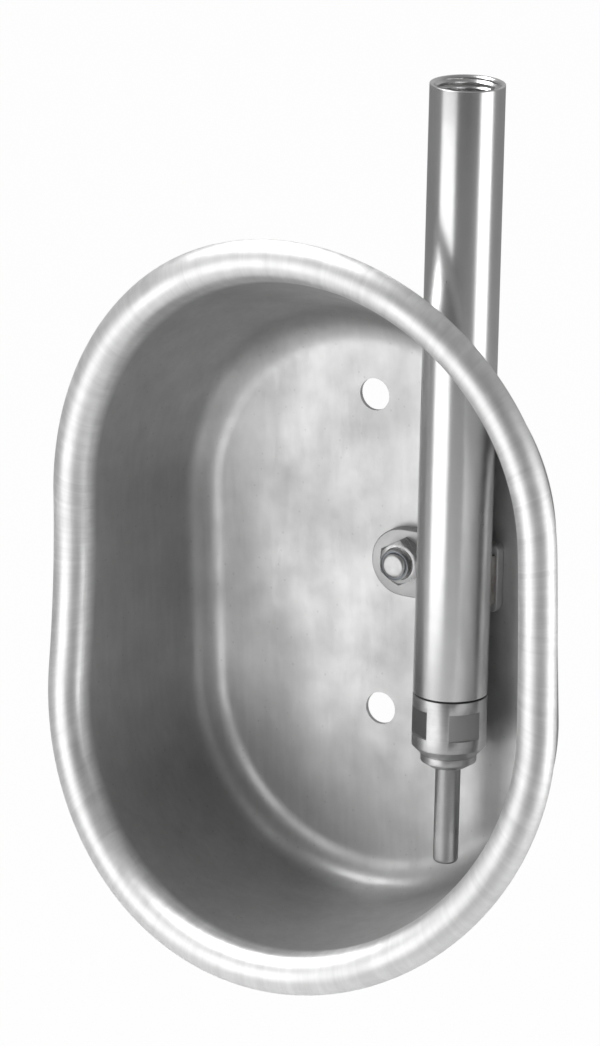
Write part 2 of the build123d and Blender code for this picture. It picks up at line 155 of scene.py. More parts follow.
BODY_CHAMFER = 3.0
BODY_EDGE = 0.14         # softened edge
SPIGOT_RADIUS = 10.15
SPIGOT_TOP = 12.0
SPIGOT_LEAD = 1.0        # chamfer at the thread's start
CHAMBER_RADIUS = 7.3
FLAT_COUNT = 4
FLAT_AZIMUTH = -36.0     # direction of the first spanner flat, degrees from +X
FLAT_ACROSS = 21.2
FLAT_HEIGHT = 9.0
FLAT_BELOW_SHOULDER = 3.85
FLAT_CUTTER = (12.0, 24.0)   # depth and width of the block that cuts a flat
FLAT_FACING = 0.99       # a face of a flat looks this straight outward
FLAT_NEAR = 0.05         # ... and stands this near the flat's own distance
BUSH_FOOT = -24.6
BUSH_TOP = -17.0
BUSH_RADIUS = 8.9
BUSH_CONE = 2.0
BUSH_LAND = 0.35         # flat ring round the bore's lower mouth
BUSH_BORE_TOP = 4.8
BUSH_BORE_BOTTOM = 5.4
BUSH_SEAM = 0.01         # between the bush's collar and the body's foot
BUSH_EDGE = 0.18         # softened edge
PUSH_FIT = 0.05          # room round a pressed piece
BALL_Z = -10.8
BALL_RADIUS = 6.0
BALL_STEPS = 28
PIN_RADIUS = 4.0
PIN_FOOT = -56.8
PIN_END_RADIUS = 1.6
PIN_END_STEPS = 8

bracket_place = Matrix.Translation(Vector((STUD_X, 0, 0))) @ Matrix.Rotation(PIPE_LEAN, 4, "Y")
valve_place = bracket_place @ Matrix.Translation(Vector((PIPE_OFFSET, PIPE_Y, -PIPE_DROP)))
out_of_wall = Matrix.Rotation(QUARTER, 4, "X")   # turns +Z to -Y, out of the wall


# ---- small tools for meshes ---------------------------------------------------------------------
def new_object(name, bm):
    """Makes an object of a mesh that is being edited, which is used up."""
    mesh = bpy.data.meshes.new(name)
    bm.to_mesh(mesh)
    bm.free()
    made = bpy.data.objects.new(name, mesh)
    bpy.context.scene.collection.objects.link(made)
    return made


def with_modifiers(work):
    """The mesh of an object with its modifiers in effect, ready for editing."""
    bpy.context.view_layer.update()
    evaluated = work.evaluated_get(bpy.context.evaluated_depsgraph_get())
    result = bmesh.new()
    result.from_mesh(evaluated.to_mesh())
    evaluated.to_mesh_clear()
    return result


def finish_piece(bm, name, place, body, material, sharp=32.0, recalc=True):
    """Puts a mesh drawn in millimetres in its place and makes it a piece that rides on a body."""
    bmesh.ops.remove_doubles(bm, verts=bm.verts, dist=MERGE_DISTANCE)
    if recalc:
        bmesh.ops.recalc_face_normals(bm, faces=bm.faces)
    bmesh.ops.transform(bm, matrix=Matrix.Scale(MM, 4) @ place, verts=bm.verts)
    piece = new_object(name, bm)
    mesh = piece.data
    mesh.polygons.foreach_set("use_smooth", [True] * len(mesh.polygons))
    mesh.set_sharp_from_angle(angle=math.radians(sharp))
    mesh.materials.append(material)
    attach(piece, body)
    return piece


def mark_faces(bm, name, chosen):
    """Gives a mesh a named number per face, 1 on the chosen ones, for its material to read."""
    layer = bm.faces.layers.float.new(name)
    for face in bm.faces:
        face[layer] = 1.0 if chosen(face) else 0.0


def made_verts(out):
    """The vertices among what a mesh operator made."""
    return [v for v in out["geom"] if isinstance(v, bmesh.types.BMVert)]


def arc_points(x, z, radius, start, sweep, steps):
    """Points along a part of a circle, from an angle on, with both ends."""
    turns = [start + sweep * i / steps for i in range(steps + 1)]
    return [(x + radius * math.cos(t), z + radius * math.sin(t)) for t in turns]


def turned(outline, steps=96, closed=True, rise=0.0):
    """A lathe shape about the Z axis from (radius, height) points; rise makes it a helix."""
    bm = bmesh.new()
    verts = [bm.verts.new((r, 0, z)) for r, z in outline]
    edges = [bm.edges.new(pair) for pair in zip(verts, verts[1:])]
    if closed:
        edges.append(bm.edges.new((verts[-1], verts[0])))
    bmesh.ops.spin(bm, geom=verts + edges, cent=(0, 0, 0), axis=(0, 0, 1), angle=math.tau,
                   steps=steps, dvec=(0, 0, rise / steps), use_merge=not rise, use_duplicate=False)
    bmesh.ops.remove_doubles(bm, verts=bm.verts, dist=MERGE_DISTANCE / 2)
    bmesh.ops.recalc_face_normals(bm, faces=bm.faces)
    return bm


def soften(bm, width, segments=2, angle=25.0):
    """Rounds every edge that turns by more than an angle."""
    sharp = math.radians(angle)
    edges = [e for e in bm.edges if e.is_manifold and e.calc_face_angle(0) > sharp]
    bmesh.ops.bevel(bm, geom=edges, offset=width, offset_type="OFFSET", segments=segments,
                    profile=0.5, affect="EDGES", clamp_overlap=True, material=-1)
    return bm


def combined(bm, tool_meshes, operation):
    """The mesh after a boolean with each tool mesh in turn."""
    work = new_object("work", bm)
    tools = [new_object("tool", tool_bm) for tool_bm in tool_meshes]
    for tool in tools:
        cut = work.modifiers.new("cut", "BOOLEAN")
        cut.operation = operation
        cut.solver = "EXACT"
        cut.object = tool
    result = with_modifiers(work)
    for each in tools + [work]:
        bpy.data.objects.remove(each)
    return result


def rod(radius, low, high, segments=48):
    """A plain cylinder on the Z axis between two heights, as a cutting tool."""
    bm = bmesh.new()
    bmesh.ops.create_cone(bm, cap_ends=True, segments=segments, radius1=radius, radius2=radius,
                          depth=high - low, matrix=Matrix.Translation((0, 0, (low + high) / 2)))
    return bm


# ---- small tools for materials ------------------------------------------------------------------
class Tree:
    """A node tree with a short way to make each kind of node; values are plain or other sockets."""

    def __init__(self, tree):
        self.nodes, self.links = tree.nodes, tree.links

    def feed(self, socket, value):
        """Gives a socket a plain value, or links another socket to it."""
        if isinstance(value, bpy.types.NodeSocket):
            self.links.new(value, socket)
        else:
            socket.default_value = value

    def add(self, kind, inputs):
        """A new node with values for its inputs, by name or number."""
        node = self.nodes.new(kind)
        for key, value in inputs.items():
            self.feed(node.inputs[key], value)
        return node

    def noise(self, vector, scale, detail, rough):
        """A cloudy value round one half."""
        inputs = {"Vector": vector, "Scale": scale, "Detail": detail, "Roughness": rough}
        return self.add("ShaderNodeTexNoise", inputs).outputs["Fac"]

    def ramp(self, value, low, high, to_low=0.0, to_high=1.0):
        """A value carried from one range to another and held inside it."""
        inputs = {"Value": value, "From Min": low, "From Max": high, "To Min": to_low,
                  "To Max": to_high}
        return self.add("ShaderNodeMapRange", inputs).outputs["Result"]

    def calc(self, operation, a, b):
        """A sum, product or the like of two values."""
        node = self.add("ShaderNodeMath", {0: a, 1: b})
        node.operation = operation
        return node.outputs["Value"]

    def blend(self, share, low, high):
        """A colour between two; the sockets go by number, as their names repeat for other kinds."""
        node = self.nodes.new("ShaderNodeMix")
        node.data_type = "RGBA"
        for number, value in ((0, share), (6, low), (7, high)):
            self.feed(node.inputs[number], value)
        return node.outputs[2]

    def blend_shaders(self, share, low, high):
        """A surface between two."""
        return self.add("ShaderNodeMixShader", {"Fac": share, 1: low, 2: high}).outputs["Shader"]

    def stretch(self, vector, scale):
        """A place with each of its directions scaled."""
        return self.add("ShaderNodeMapping", {"Vector": vector, "Scale": scale}).outputs["Vector"]

    def parts(self, vector):
        """The X, Y and Z of a place."""
        return self.add("ShaderNodeSeparateXYZ", {"Vector": vector}).outputs

    def bump(self, height, distance, strength=1.0, under=None):
        """A normal from a height in millimetres, on top of another one if given."""
        inputs = {"Strength": strength, "Distance": distance * MM, "Height": height}
        if under:
            inputs["Normal"] = under
        return self.add("ShaderNodeBump", inputs).outputs["Normal"]

    def group(self, shared, vector, size_name, size):
        """The outputs of a shared group, fed with a place and a size."""
        node = self.nodes.new("ShaderNodeGroup")
        node.node_tree = shared
        self.feed(node.inputs["Vector"], vector)
        self.feed(node.inputs[size_name], size)
        return node.outputs


def new_material(name):
    """A material with its tree and its main shader."""
    material = bpy.data.materials.new(name)
    material.use_nodes = True
    tree = Tree(material.node_tree)
    return material, tree, tree.nodes["Principled BSDF"]


def new_group(name, size_name, outputs):
    """A shared group with a place and a size going in, and plain values coming out."""
    group = bpy.data.node_groups.new(name, "ShaderNodeTree")
    group.interface.new_socket(name="Vector", in_out="INPUT", socket_type="NodeSocketVector")
    group.interface.new_socket(name=size_name, in_out="INPUT", socket_type="NodeSocketFloat")
    for label in outputs:
        group.interface.new_socket(name=label, in_out="OUTPUT", socket_type="NodeSocketFloat")
    tree = Tree(group)
    given = tree.add("NodeGroupInput", {}).outputs
    made = tree.add("NodeGroupOutput", {}).inputs
    return group, tree, given["Vector"], given[size_name], made


def grey(tone):
    """A colour without hue."""
    return (tone, tone, tone, 1.0)


# ---- materials ----------------------------------------------------------------------------------
LIP_EDGE = 1.5           # half the depth over which the wall's look turns into the lip's
LIP_MARK_HEIGHT = 0.9    # the lip's brush marks, in heights of the sheet's own lines
LIP_ROUGHER = 0.06       # the brushed lip scatters more than the inside of the bowl
LIP_MARK_DRIFT = 2.0     # how fast the marks change over the lip's depth
LIP_MARK_TONES = (0.3, 0.7, 0.68, 1.04)   # range of the marks, and shares of the lip's lighter tone, a painted highlight
FINE_MARKS = (34.0, 4.0, 0.7)             # size, detail and roughness of the noise
CREASES = (17.0, 1.0, 0.4)
CREASE_RANGE = (0.64, 0.68)
CREASE_DEPTH = 0.25
CLOUD = (4.0, 0.6)                        # detail and roughness of the noise
CLOUD_RANGE = (0.3, 0.7)
SWELL = (2.5, 0.42)
SWELL_SIZE = 0.8         # in sizes of the patches
PIT_SIZE = 260.0
PIT_RANGE = (0.04, 0.12)
GRAIN_LINES = (1.0, 0.5)
SCRATCH_NOISE = (2.0, 0.5)
SCRATCH_SIZE = 0.35      # in sizes of the lines
SCRATCH_RANGE = (0.66, 0.72)
PATCH_SHARE = 0.7        # how much the patches, the lines and the scratches change the tone
LINE_SHARE = 0.45
SCRATCH_SHARE = 0.1
LINE_ROUGHER = 1.5       # how much the lines change the roughness, in spreads
MOULDED_PATCH = 180.0
MOULDED_SPREAD = 0.06
MOULDED_SKIN = (2800.0, 2.0, 0.5)         # size, detail and roughness of the noise
MOULDED_STRENGTH = 0.6


def lip_mask(tree, place):
    """1 on the bowl's lip, which carries a painted highlight and real brush marks, and 0 inside the
    bowl: the depth in front of the rim's own arc.
    """
    parts = tree.parts(place)
    above = tree.calc("SUBTRACT", parts["Z"], RIM_ARC_Z * MM)
    arc = tree.calc("DIVIDE", tree.calc("MULTIPLY", above, above), 2 * RIM_SIDE_RADIUS * MM)
    front = tree.calc("SUBTRACT", tree.calc("MULTIPLY", parts["Y"], -1.0), arc)
    return tree.ramp(front, (RIM_DEPTH - LIP_EDGE) * MM, (RIM_DEPTH + LIP_EDGE) * MM)


def brush_marks(tree, place):
    """Marks across the lip: a noise that changes mostly with the direction from the middle."""
    parts = tree.parts(place)
    around = tree.calc("ARCTAN2", parts["X"], parts["Z"])
    drift = tree.calc("MULTIPLY", parts["Y"], LIP_MARK_DRIFT)
    line = tree.add("ShaderNodeCombineXYZ", {"X": around, "Y": drift}).outputs["Vector"]
    creases = tree.ramp(tree.noise(line, *CREASES), *CREASE_RANGE)
    creases = tree.calc("MULTIPLY", creases, CREASE_DEPTH)
    return tree.calc("SUBTRACT", tree.noise(line, *FINE_MARKS), creases)


def make_patch_group():
    """Soft patches of handled, pickled sheet: two sizes of cloud and a few small pits."""
    outputs = ["Patch", "Swell", "Pits"]
    group, tree, vector, size, made = new_group("sheet_patches", "Patch Size", outputs)
    cloud = tree.noise(vector, size, *CLOUD)
    tree.feed(made["Patch"], tree.ramp(cloud, *CLOUD_RANGE))
    swell_size = tree.calc("MULTIPLY", size, SWELL_SIZE)
    tree.feed(made["Swell"], tree.noise(vector, swell_size, *SWELL))
    cells = tree.add("ShaderNodeTexVoronoi", {"Vector": vector, "Scale": PIT_SIZE})
    tree.feed(made["Pits"], tree.ramp(cells.outputs["Distance"], *PIT_RANGE))
    return group


def make_grain_group():
    """Fine drawn or turned lines and sparse longer scratches, for a stretched place."""
    outputs = ["Lines", "Scratches"]
    group, tree, vector, size, made = new_group("metal_grain", "Line Size", outputs)
    tree.feed(made["Lines"], tree.noise(vector, size, *GRAIN_LINES))
    sparse = tree.noise(vector, tree.calc("MULTIPLY", size, SCRATCH_SIZE), *SCRATCH_NOISE)
    tree.feed(made["Scratches"], tree.ramp(sparse, *SCRATCH_RANGE))
    return group


PATCHES = make_patch_group()
GRAIN = make_grain_group()


def steel(name, tone, dark_tone, roughness, spread, line_way, line_size, line_height, patch_size,
          swell_height=0.0, specks=0.1, buffed_lip=None, milled=None):
    """Stainless steel: patches and lines vary its tone and roughness, and stand in the bump.

    line_way stretches the lines: the small number is the way they run. The lip's tone, when given,
    is a lighter tone painted over the bowl's lip as a highlight, and milled is the tone of the
    faces marked as milled.
    """
    material, tree, shader = new_material(name)
    place = tree.add("ShaderNodeTexCoord", {}).outputs["Object"]
    patches = tree.group(PATCHES, place, "Patch Size", patch_size)
    grain = tree.group(GRAIN, tree.stretch(place, line_way), "Line Size", line_size)
    lines = grain["Lines"]

    share = tree.calc("MULTIPLY", patches["Patch"], PATCH_SHARE)
    share = tree.calc("ADD", share, tree.calc("MULTIPLY", lines, LINE_SHARE))
    share = tree.calc("SUBTRACT", share, tree.calc("MULTIPLY", grain["Scratches"], SCRATCH_SHARE))
    share = tree.calc("ADD", share, tree.ramp(patches["Pits"], 0.0, 1.0, -specks, 0.0))
    colour = tree.blend(share, dark_tone, tone)
    rough = tree.ramp(patches["Patch"], 0.0, 1.0, roughness + spread, roughness - spread)
    rough = tree.calc("ADD", rough, tree.calc("MULTIPLY", lines, spread * LINE_ROUGHER))
    height = lines
    # The lip gets a lighter tone: a painted highlight along the rolled lip. The real brush marks
    # break it up.
    if buffed_lip:
        marks = tree.ramp(brush_marks(tree, place), *LIP_MARK_TONES)
        lip_share = tree.calc("MULTIPLY", lip_mask(tree, place), marks)
        colour = tree.blend(lip_share, colour, buffed_lip)
        rough = tree.calc("ADD", rough, tree.calc("MULTIPLY", lip_share, LIP_ROUGHER))
        height = tree.calc("ADD", height, tree.calc("MULTIPLY", lip_share, LIP_MARK_HEIGHT))
    if milled:
        cut = tree.add("ShaderNodeAttribute", {})
        cut.attribute_name = "milled"
        colour = tree.blend(cut.outputs["Fac"], colour, milled)
    swell = tree.bump(patches["Swell"], swell_height) if swell_height else None
    tree.feed(shader.inputs["Metallic"], 1.0)
    tree.feed(shader.inputs["Base Color"], colour)
    tree.feed(shader.inputs["Roughness"], rough)
    tree.feed(shader.inputs["Normal"], tree.bump(height, line_height, under=swell))
    return material


def moulded(name, tone, dark_tone, roughness, skin_height=0.02):
    """Plastic or rubber with a fine moulded skin."""
    material, tree, shader = new_material(name)
    place = tree.add("ShaderNodeTexCoord", {}).outputs["Object"]
    patch = tree.group(PATCHES, place, "Patch Size", MOULDED_PATCH)["Patch"]
    rough = tree.ramp(patch, 0.0, 1.0, roughness + MOULDED_SPREAD, roughness - MOULDED_SPREAD)
    skin = tree.bump(tree.noise(place, *MOULDED_SKIN), skin_height, MOULDED_STRENGTH)
    tree.feed(shader.inputs["Base Color"], tree.blend(patch, dark_tone, tone))
    tree.feed(shader.inputs["Roughness"], rough)
    tree.feed(shader.inputs["Normal"], skin)
    return material


# The ways in which a steel's lines run.
ALL_WAYS = (1.0, 1.0, 1.0)
UP_BOWL = (1.0, 1.0, 0.12)
UP_PIPE = (1.0, 1.0, 0.02)
ROUND = (0.05, 0.05, 1.0)
ACROSS = (0.06, 1.0, 1.0)

# Each steel's tones, roughness and its spread, the way, size and height of its lines, and the size
# of its patches. Sizes here are scales of the noise, so a large number makes small marks.
# The bowl's lip tone of 0.92 is a painted highlight on the rolled lip.
bowl_steel = steel("bowl_steel", grey(0.63), grey(0.45), 0.38, 0.07, UP_BOWL, 520.0, 0.02, 34.0,
                   swell_height=0.6, specks=0.5, buffed_lip=grey(0.92))
pipe_steel = steel("pipe_steel", grey(0.76), grey(0.64), 0.24, 0.02, UP_PIPE, 500.0, 0.001, 60.0)
turned_steel = steel("valve_steel", grey(0.70), grey(0.50), 0.30, 0.05, ROUND, 1700.0, 0.006, 90.0,
                     milled=grey(0.42))
bush_steel = steel("bush_steel", grey(0.64), grey(0.46), 0.36, 0.05, ROUND, 1700.0, 0.006, 90.0)
pin_steel = steel("pin_steel", grey(0.50), grey(0.40), 0.42, 0.05, ROUND, 2500.0, 0.005, 120.0)
plate_steel = steel("plate_steel", grey(0.58), grey(0.48), 0.48, 0.05, ACROSS, 900.0, 0.01, 60.0)
nut_steel = steel("nut_steel", grey(0.62), grey(0.45), 0.22, 0.05, ALL_WAYS, 700.0, 0.006, 150.0)
stud_steel = steel("stud_steel", grey(0.56), grey(0.44), 0.34, 0.05, ALL_WAYS, 900.0, 0.004, 200.0)
weld_steel = steel("weld_steel", (0.46, 0.44, 0.42, 1.0), (0.26, 0.23, 0.20, 1.0), 0.42, 0.08,
                   ALL_WAYS, 800.0, 0.05, 200.0)
wire_steel = steel("spring_steel", grey(0.60), grey(0.45), 0.25, 0.05, ALL_WAYS, 900.0, 0.005,
                   200.0)
clip_steel = steel("clip_steel", (0.30, 0.30, 0.31, 1.0), (0.18, 0.18, 0.19, 1.0), 0.35, 0.05,
                   ALL_WAYS, 900.0, 0.005, 200.0)
mesh_steel = steel("mesh_steel", grey(0.58), grey(0.30), 0.35, 0.08, ALL_WAYS, 2600.0, 0.08, 300.0)
black_rubber = moulded("seat_rubber", grey(0.045), grey(0.025), 0.55)
fibre = moulded("gasket_fibre", grey(0.05), grey(0.02), 0.7, skin_height=0.05)
nylon = moulded("insert_nylon", (0.50, 0.54, 0.60, 1.0), (0.42, 0.46, 0.52, 1.0), 0.45)
white_plastic = moulded("cup_plastic", (0.80, 0.80, 0.77, 1.0), (0.70, 0.70, 0.67, 1.0), 0.4)
blue_plastic = moulded("flow_plastic", (0.06, 0.12, 0.32, 1.0), (0.04, 0.09, 0.25, 1.0), 0.4)


# ---- bowl ---------------------------------------------------------------------------------------
def outline_stations():
    """Places round the outline, as (angle, share).

    The angle is that of the outward direction; share is 0 at the top end's centre and 1 at the
    bottom's.
    """
    stations = [(math.pi * i / ARC_STEPS, 0.0) for i in range(ARC_STEPS + 1)]
    stations += [(math.pi, i / SIDE_STEPS) for i in range(1, SIDE_STEPS)]
    stations += [(math.pi + math.pi * i / ARC_STEPS, 1.0) for i in range(ARC_STEPS + 1)]
    stations += [(math.tau, 1 - i / SIDE_STEPS) for i in range(1, SIDE_STEPS)]
    return stations


def wall_point(depth, angle, share):
    """A point of the wall's inner face at a depth, as (x, z)."""
    rise = depth - SHEET
    side = BASE_HALF_WIDTH + rise * SIDE_SLOPE
    top = BASE_TOP + rise * TOP_SLOPE - side
    bottom = BASE_BOTTOM - rise * BOTTOM_SLOPE + side
    middle = top + (bottom - top) * share
    return Vector((side * math.cos(angle), middle + side * math.sin(angle)))


def wall_slope(angle, share):
    """How far the wall leans outward per unit of depth."""
    top_shift = TOP_SLOPE - SIDE_SLOPE
    bottom_shift = SIDE_SLOPE - BOTTOM_SLOPE
    return SIDE_SLOPE + (top_shift + (bottom_shift - top_shift) * share) * math.sin(angle)


def rim_depth_at(z):
    """Depth of the lip's centre line at a height."""
    return RIM_DEPTH + RIM_SIDE_RADIUS - math.sqrt(RIM_SIDE_RADIUS ** 2 - (z - RIM_ARC_Z) ** 2)


def section_points(angle, share):
    """The bowl's section at one station, from the panel up the fillet and wall to the lip."""
    outward = Vector((math.cos(angle), math.sin(angle)))
    slope = wall_slope(angle, share)
    lean = math.atan(slope)
    points = []

    def add(depth, inward):
        flat = wall_point(depth, angle, share) - outward * inward
        points.append(Vector((flat.x, -depth, flat.y)))

    radius = BASE_FILLET + (TOP_FILLET - BASE_FILLET) * max(outward.y, 0) ** 2
    corner = radius / math.cos(lean) - radius * slope
    add(SHEET, corner + PANEL_RING)
    for i in range(FILLET_STEPS + 1):
        turn = (QUARTER - lean) * i / FILLET_STEPS
        down = radius * (1 - math.cos(turn))
        add(SHEET + down, corner + down * slope - radius * math.sin(turn))

    wall_start = SHEET + radius * (1 - math.sin(lean))
    lip_depth = RIM_DEPTH
    for _ in range(RIM_ROUNDS):
        centre = wall_point(lip_depth, angle, share) + outward * LIP_HALF_WIDTH / math.cos(lean)
        lip_depth = rim_depth_at(centre.y)
    wall_end = lip_depth + LIP_HALF_WIDTH * math.sin(lean)
    for i in range(1, WALL_STEPS + 1):
        add(wall_start + (wall_end - wall_start) * i / WALL_STEPS, 0.0)

    tilt = math.atan((centre.y - RIM_ARC_Z) / RIM_SIDE_RADIUS * outward.y)
    last = math.pi - tilt - math.asin(LIP_SHORT / LIP_RADIUS)
    for i in range(1, LIP_STEPS + 1):
        turn = lean + (last - lean) * i / LIP_STEPS
        flat = centre - outward * LIP_RADIUS * math.cos(turn)
        points.append(Vector((flat.x, -(lip_depth + LIP_RADIUS * math.sin(turn)), flat.y)))
    return points


def draw_walls(bm, sections):
    """Draws the walls: each ring is the one before it, extruded and set in its place."""
    bmesh.ops.create_circle(bm, cap_ends=False, segments=len(sections), radius=1.0)
    bm.verts.ensure_lookup_table()
    ring = list(bm.verts)
    edges = list(bm.edges)
    for vert, section in zip(ring, sections):
        vert.co = section[0]
    for level in range(1, len(sections[0])):
        out = bmesh.ops.extrude_edge_only(bm, edges=edges)
        edges = [e for e in out["geom"] if isinstance(e, bmesh.types.BMEdge)]
        fresh = made_verts(out)
        station = {}
        for vert in fresh:
            others = [e.other_vert(vert) for e in vert.link_edges]
            station[vert] = ring.index(next(v for v in others if v not in fresh))
        ring = sorted(fresh, key=station.get)
        for vert in ring:
            vert.co = sections[station[vert]][level]


def on_panel(place):
    """Whether a point lies on the panel's inner face."""
    return abs(place.y + SHEET) < ON_PANEL


def fill_panel(bm):
    """Fills the panel between its border, the two wall holes and the stud's hole."""
    edges = [e for e in bm.edges if e.is_boundary and all(on_panel(v.co) for v in e.verts)]
    half = HOLE_SPACING / 2
    for x, z, radius in ((0, half, HOLE_RADIUS), (0, -half, HOLE_RADIUS),
                         (STUD_X, 0, STUD_RADIUS + STUD_FIT)):
        place = Matrix.Translation((x, -SHEET, z)) @ out_of_wall
        made = bmesh.ops.create_circle(bm, cap_ends=False, segments=HOLE_STEPS, radius=radius,
                                       matrix=place)
        edges += list({e for v in made["verts"] for e in v.link_edges})
    bmesh.ops.triangle_fill(bm, edges=edges, use_beauty=True)
    bmesh.ops.recalc_face_normals(bm, faces=bm.faces)
    panel = [f for f in bm.faces if on_panel(f.calc_center_median())]
    if sum(f.normal.y * f.calc_area() for f in panel) > 0:
        bmesh.ops.reverse_faces(bm, faces=bm.faces)


def make_bowl():
    """The drawn sheet: its inner face is drawn first, and then it gets its thickness."""
    bm = bmesh.new()
    draw_walls(bm, [section_points(*station) for station in outline_stations()])
    fill_panel(bm)
    work = new_object("work", bm)
    thick = work.modifiers.new("sheet", "SOLIDIFY")
    thick.thickness = SHEET
    thick.offset = -1.0
    thick.use_even_offset = True
    sheet = with_modifiers(work)
    bpy.data.objects.remove(work)
    passage = rod(PIPE_RADIUS + PIPE_PASSAGE_CLEARANCE, PIPE_DROP, PIPE_LENGTH, segments=96)
    bmesh.ops.transform(passage, matrix=valve_place, verts=passage.verts)
    sheet = combined(sheet, [passage], "DIFFERENCE")
    bowl = finish_piece(sheet, "drawn_bowl", Matrix.Identity(4), "bowl_assembly",
                        bowl_steel, recalc=False)
    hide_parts("bowl_shell")


# ---- bracket ------------------------------------------------------------------------------------
def make_plate():
    """The plate with its round left end, softened edges and clearance hole."""
    half = PLATE_HEIGHT / 2
    right = PLATE_RIGHT - PLATE_CORNER
    height = half - PLATE_CORNER
    points = arc_points(half - PLATE_LEFT, 0, half, QUARTER, math.pi, PLATE_ARC_STEPS)
    points += arc_points(right, -height, PLATE_CORNER, -QUARTER, QUARTER, PLATE_CORNER_STEPS)
    points += arc_points(right, height, PLATE_CORNER, 0, QUARTER, PLATE_CORNER_STEPS)
    bm = bmesh.new()
    face = bm.faces.new([bm.verts.new((x, -SHEET, z - PLATE_SAG)) for x, z in points])
    out = bmesh.ops.extrude_face_region(bm, geom=[face])
    bmesh.ops.translate(bm, vec=(0, -PLATE_THICKNESS, 0), verts=made_verts(out))
    bmesh.ops.recalc_face_normals(bm, faces=bm.faces)
    soften(bm, PLATE_EDGE, segments=3, angle=50)
    hole = rod(STUD_RADIUS + HOLE_CLEARANCE, -OVER, PLATE_FACE + 2 * OVER)
    bmesh.ops.transform(hole, matrix=out_of_wall, verts=hole.verts)
    cut = combined(bm, [hole], "DIFFERENCE")
    plate = finish_piece(cut, "bracket_plate_part", bracket_place, "bowl_assembly",
                         plate_steel)
    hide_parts("bracket_plate")


def make_nut():
    """The hexagon lock nut: corners turned off at the top, with its rolled collar."""
    hexagon = rod(NUT_CORNER, PLATE_FACE, NUT_TOP, segments=6)
    reach = NUT_CORNER + NUT_CONE_REACH
    low, high = PLATE_FACE - OVER, NUT_TOP + NUT_CONE_RISE
    cone = turned([(0, low), (reach, low), (reach, NUT_TOP - NUT_CONE_DROP),
                   (NUT_CONE_TOP_RADIUS, high), (0, high)], NUT_STEPS, closed=False)
    body = soften(combined(hexagon, [cone], "INTERSECT"), NUT_EDGE, angle=20)
    bore = rod(STUD_RADIUS + HOLE_CLEARANCE, low, NUT_COLLAR_TOP + OVER)
    body = combined(body, [bore], "DIFFERENCE")

    inner, foot = STUD_RADIUS + STUD_FIT, PLATE_FACE + COLLAR_LIFT
    pocket = NUT_COLLAR_TOP - INSERT_HEIGHT
    outline = [(inner, foot), (inner, pocket), (COLLAR_EDGE[0][0], pocket)]
    outline += [(radius, NUT_COLLAR_TOP - drop) for radius, drop in COLLAR_EDGE]
    outline += [(NUT_COLLAR_RADIUS, NUT_TOP + COLLAR_ROOT_HEIGHT),
                (COLLAR_ROOT_RADIUS, NUT_TOP - COLLAR_SEAM), (COLLAR_ROOT_RADIUS, foot)]
    collar = turned(outline, NUT_STEPS)
    mesh = bpy.data.meshes.new("collar")
    collar.to_mesh(mesh)
    collar.free()
    body.from_mesh(mesh)
    nut = finish_piece(body, "lock_nut_part", bracket_place @ out_of_wall, "bowl_assembly",
                       nut_steel)
    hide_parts("lock_nut")


def make_stud():
    """The stud: thread turns above the plate and a rounded end."""
    outline = [(0, 0), (STUD_RADIUS, 0), (STUD_RADIUS, PLATE_FACE)]
    base = PLATE_FACE + STUD_THREAD_LOW
    for k in range(STUD_TURNS):
        outline += [(STUD_RADIUS - STUD_THREAD_DEPTH, base + STUD_PITCH * (k + 0.5)),
                    (STUD_RADIUS, base + STUD_PITCH * (k + 1) - STUD_CREST_DROP)]
    outline += [(STUD_RADIUS - inward, STUD_END - drop) for inward, drop in STUD_DOME]
    outline.append((0, STUD_END))
    bm = turned(outline, steps=64, closed=False)
    stud = finish_piece(bm, "threaded_stud", bracket_place @ out_of_wall, "bowl_assembly",
                        stud_steel, sharp=40)
    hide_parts("bracket_stud")


def make_weld(side, name):
    """One weld bead: a rippled run between the pipe and the plate, left (-1) or right (1)."""
    foot = PIPE_RADIUS - WELD_REACH_BACK
    bm = bmesh.new()
    section = [(side * (foot - back), -PLATE_FACE - high, 0) for back, high in WELD_PROFILE]
    verts = [bm.verts.new(point) for point in section]
    end = [bm.faces.new(verts)]
    bmesh.ops.translate(bm, vec=(0, 0, -WELD_LENGTH / 2), verts=verts)
    for k in range(int(WELD_LENGTH / WELD_STEP)):
        out = bmesh.ops.extrude_face_region(bm, geom=end)
        bmesh.ops.translate(bm, vec=(0, 0, WELD_STEP), verts=made_verts(out))
        if k:
            bmesh.ops.delete(bm, geom=end, context="FACES_ONLY")
        end = [f for f in out["geom"] if isinstance(f, bmesh.types.BMFace)]
    for v in bm.verts:
        if abs(v.co.y + PLATE_FACE) > RIPPLE_FREE:
            ripple = RIPPLE_HEIGHT * math.cos(v.co.z * math.tau / RIPPLE_PITCH) - RIPPLE_HEIGHT
            v.co.x += side * ripple
            v.co.y -= ripple * RIPPLE_OUT
    place = bracket_place @ Matrix.Translation((PIPE_OFFSET, 0, -PLATE_SAG))
    bead = finish_piece(bm, name + "_bead", place, "bowl_assembly", weld_steel,
                        sharp=60)
    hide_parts(name)


# ---- pipe and valve -----------------------------------------------------------------------------
def make_pipe():
    """The drawn tube with its rounded ends and chamfered mouths."""
    top = PIPE_LENGTH
    mouth = SOCKET_RADIUS + SOCKET_CHAMFER
    outline = [(SOCKET_RADIUS, SOCKET_CHAMFER), (mouth, 0), (PIPE_RADIUS, 0), (PIPE_RADIUS, top),
               (mouth, top), (SOCKET_RADIUS, top - SOCKET_CHAMFER),
               (SOCKET_RADIUS, top - SOCKET_DEPTH), (PIPE_BORE, top - SOCKET_DEPTH),
               (PIPE_BORE, SOCKET_DEPTH), (SOCKET_RADIUS, SOCKET_DEPTH)]
    bm = soften(turned(outline, PIPE_STEPS), PIPE_EDGE, segments=3)
    pipe = finish_piece(bm, "drawn_pipe", valve_place, "bowl_assembly", pipe_steel)
    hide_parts("water_pipe")


